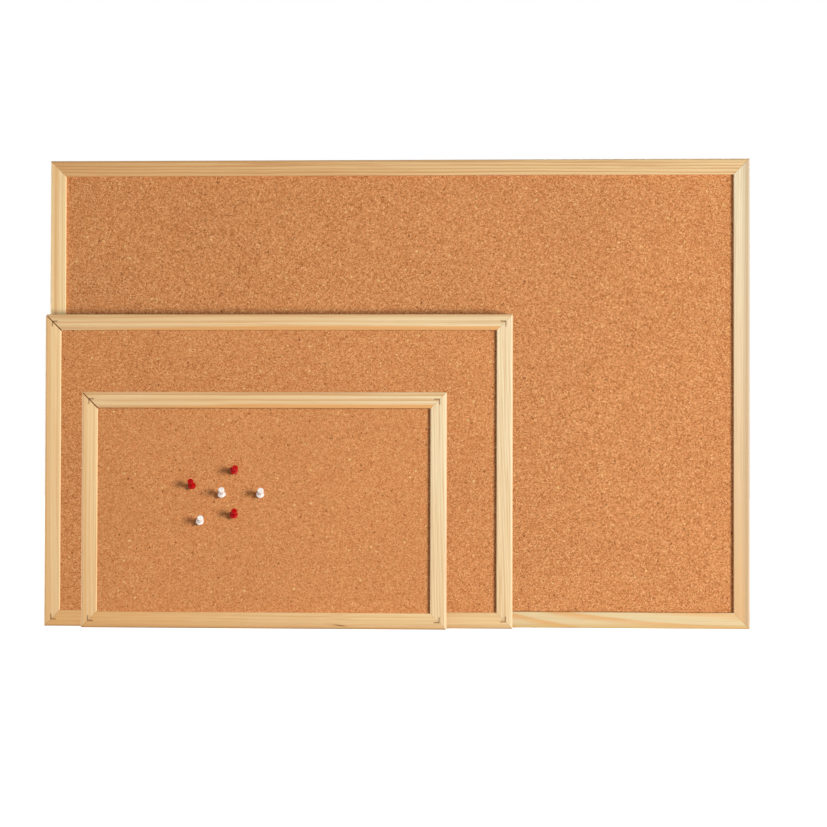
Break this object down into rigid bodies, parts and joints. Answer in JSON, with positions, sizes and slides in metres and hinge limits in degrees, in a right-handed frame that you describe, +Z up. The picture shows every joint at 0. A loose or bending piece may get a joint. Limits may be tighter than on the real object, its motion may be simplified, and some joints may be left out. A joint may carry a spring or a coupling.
{
  "type": "cork board",
  "caption": "Set of pine-framed cork boards in graduated sizes, standing face to back on their edges, with push pins in the smallest, for pinning notes on a wall or shelf.",
  "frame": {"origin": "middle of the flat bottom face of the large board's bottom rail, halfway through its thickness", "axes": "+Z up, +X to the right as seen from the front, +Y to the back, so the cork faces look along -Y"},
  "size_m": [0.9015, 0.069, 0.6],
  "materials": {
    "pine": "satin",
    "cork": "matte",
    "fibreboard": "matte",
    "dark_steel": "satin",
    "zinc_steel": "satin",
    "red_plastic": "gloss",
    "white_plastic": "gloss"
  },
  "bodies": {
    "large_board": {"large_top_rail": "pine", "large_bottom_rail": "pine", "large_left_rail": "pine", "large_right_rail": "pine", "large_cork_sheet": "cork", "large_backing_board": "fibreboard", "large_bottom_left_v_nail": "dark_steel", "large_bottom_right_v_nail": "dark_steel", "large_top_right_v_nail": "dark_steel", "large_top_left_v_nail": "dark_steel", "large_left_hanger": "zinc_steel", "large_left_hanger_first_nail": "zinc_steel", "large_left_hanger_second_nail": "zinc_steel", "large_right_hanger": "zinc_steel", "large_right_hanger_first_nail": "zinc_steel", "large_right_hanger_second_nail": "zinc_steel"},
    "mid_board": {"mid_top_rail": "pine", "mid_bottom_rail": "pine", "mid_left_rail": "pine", "mid_right_rail": "pine", "mid_cork_sheet": "cork", "mid_backing_board": "fibreboard", "mid_bottom_left_v_nail": "dark_steel", "mid_bottom_right_v_nail": "dark_steel", "mid_top_right_v_nail": "dark_steel", "mid_top_left_v_nail": "dark_steel", "mid_left_hanger": "zinc_steel", "mid_left_hanger_first_nail": "zinc_steel", "mid_left_hanger_second_nail": "zinc_steel", "mid_right_hanger": "zinc_steel", "mid_right_hanger_first_nail": "zinc_steel", "mid_right_hanger_second_nail": "zinc_steel"},
    "small_board": {"small_top_rail": "pine", "small_bottom_rail": "pine", "small_left_rail": "pine", "small_right_rail": "pine", "small_cork_sheet": "cork", "small_backing_board": "fibreboard", "small_bottom_left_v_nail": "dark_steel", "small_bottom_right_v_nail": "dark_steel", "small_top_right_v_nail": "dark_steel", "small_top_left_v_nail": "dark_steel", "small_left_hanger": "zinc_steel", "small_left_hanger_first_nail": "zinc_steel", "small_left_hanger_second_nail": "zinc_steel", "small_right_hanger": "zinc_steel", "small_right_hanger_first_nail": "zinc_steel", "small_right_hanger_second_nail": "zinc_steel"},
    "red_pin_left": {"red_pin_left_grip": "red_plastic", "red_pin_left_needle": "zinc_steel"},
    "red_pin_top": {"red_pin_top_grip": "red_plastic", "red_pin_top_needle": "zinc_steel"},
    "red_pin_bottom": {"red_pin_bottom_grip": "red_plastic", "red_pin_bottom_needle": "zinc_steel"},
    "white_pin_middle": {"white_pin_middle_grip": "white_plastic", "white_pin_middle_needle": "zinc_steel"},
    "white_pin_right": {"white_pin_right_grip": "white_plastic", "white_pin_right_needle": "zinc_steel"},
    "white_pin_bottom": {"white_pin_bottom_grip": "white_plastic", "white_pin_bottom_needle": "zinc_steel"}
  },
  "joints": [
    {"name": "mid_board_forward", "type": "slide", "parent": "large_board", "child": "mid_board", "axis": [0, -1, 0], "range_m": [0, 0.15]},
    {"name": "small_board_forward", "type": "slide", "parent": "mid_board", "child": "small_board", "axis": [0, -1, 0], "range_m": [0, 0.15]},
    {"name": "red_pin_left_pull", "type": "slide", "parent": "small_board", "child": "red_pin_left", "axis": [-0.0453, -0.8651, 0.4995], "range_m": [0, 0.03]},
    {"name": "red_pin_top_pull", "type": "slide", "parent": "small_board", "child": "red_pin_top", "axis": [0.2336, -0.937, 0.2598], "range_m": [0, 0.03]},
    {"name": "red_pin_bottom_pull", "type": "slide", "parent": "small_board", "child": "red_pin_bottom", "axis": [0.1578, -0.895, 0.4173], "range_m": [0, 0.03]},
    {"name": "white_pin_middle_pull", "type": "slide", "parent": "small_board", "child": "white_pin_middle", "axis": [0.0839, -0.8715, 0.4831], "range_m": [0, 0.03]},
    {"name": "white_pin_right_pull", "type": "slide", "parent": "small_board", "child": "white_pin_right", "axis": [0.1487, -0.8888, 0.4335], "range_m": [0, 0.03]},
    {"name": "white_pin_bottom_pull", "type": "slide", "parent": "small_board", "child": "white_pin_bottom", "axis": [0.2, -0.9019, 0.3828], "range_m": [0, 0.03]}
  ]
}
